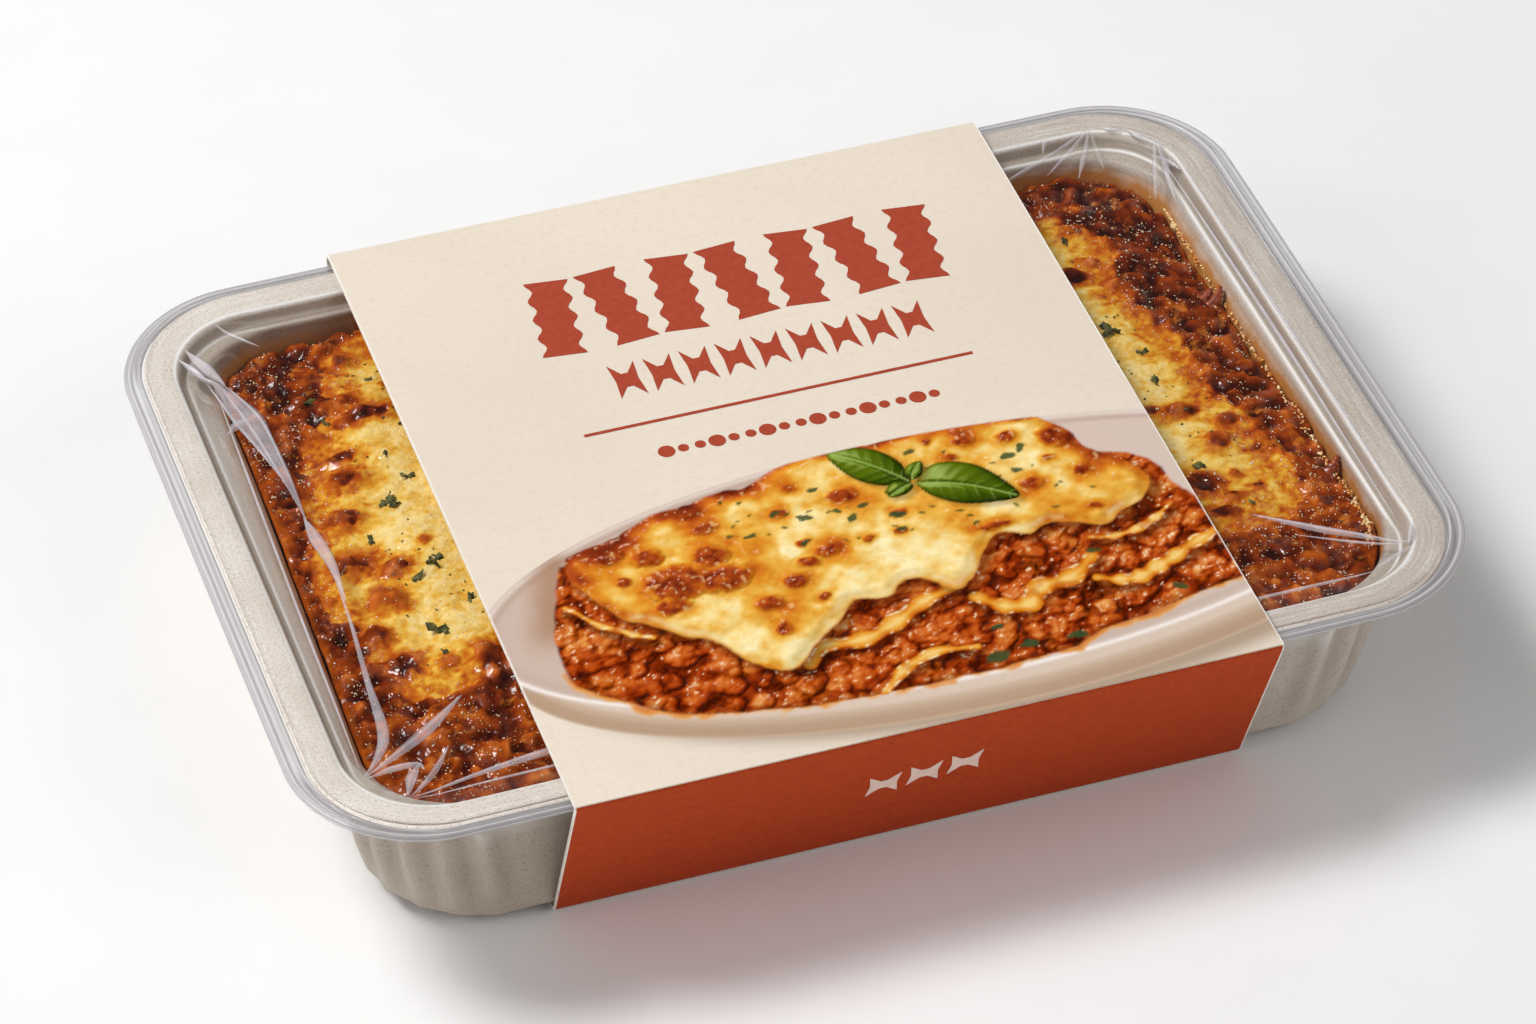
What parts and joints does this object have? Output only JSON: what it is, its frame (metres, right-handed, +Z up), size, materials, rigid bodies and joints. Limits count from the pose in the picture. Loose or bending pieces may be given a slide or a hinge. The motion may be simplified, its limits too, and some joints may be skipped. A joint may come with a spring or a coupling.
{
  "type": "tray ready meal in a card sleeve",
  "caption": "Rectangular moulded tray of baked pasta under clear film, with a ridged clear rim and a printed card sleeve round its middle.",
  "frame": {"origin": "on the ground under the middle of the tray: bottom centre of the bounding box", "axes": "+X along the tray's length, +Y across it away from the front panel, +Z up"},
  "size_m": [0.17, 0.1259, 0.0312],
  "materials": {
    "tray": "moulded grey-beige sheet with fine dark specks, slightly glossy on the flange",
    "lasagne": "browned cheese and dark red-brown crust, oily and glistening",
    "film": "clear glossy film with creases at the corners",
    "clear_rim": "clear ridged plastic with a faint blue-grey tint",
    "card": "warm cream uncoated card, with a russet front panel"
  },
  "bodies": {
    "root": {"tray": "tray", "lasagne": "lasagne", "film_lid": "film", "clear_rim": "clear_rim", "sleeve": "card"}
  },
  "joints": []
}
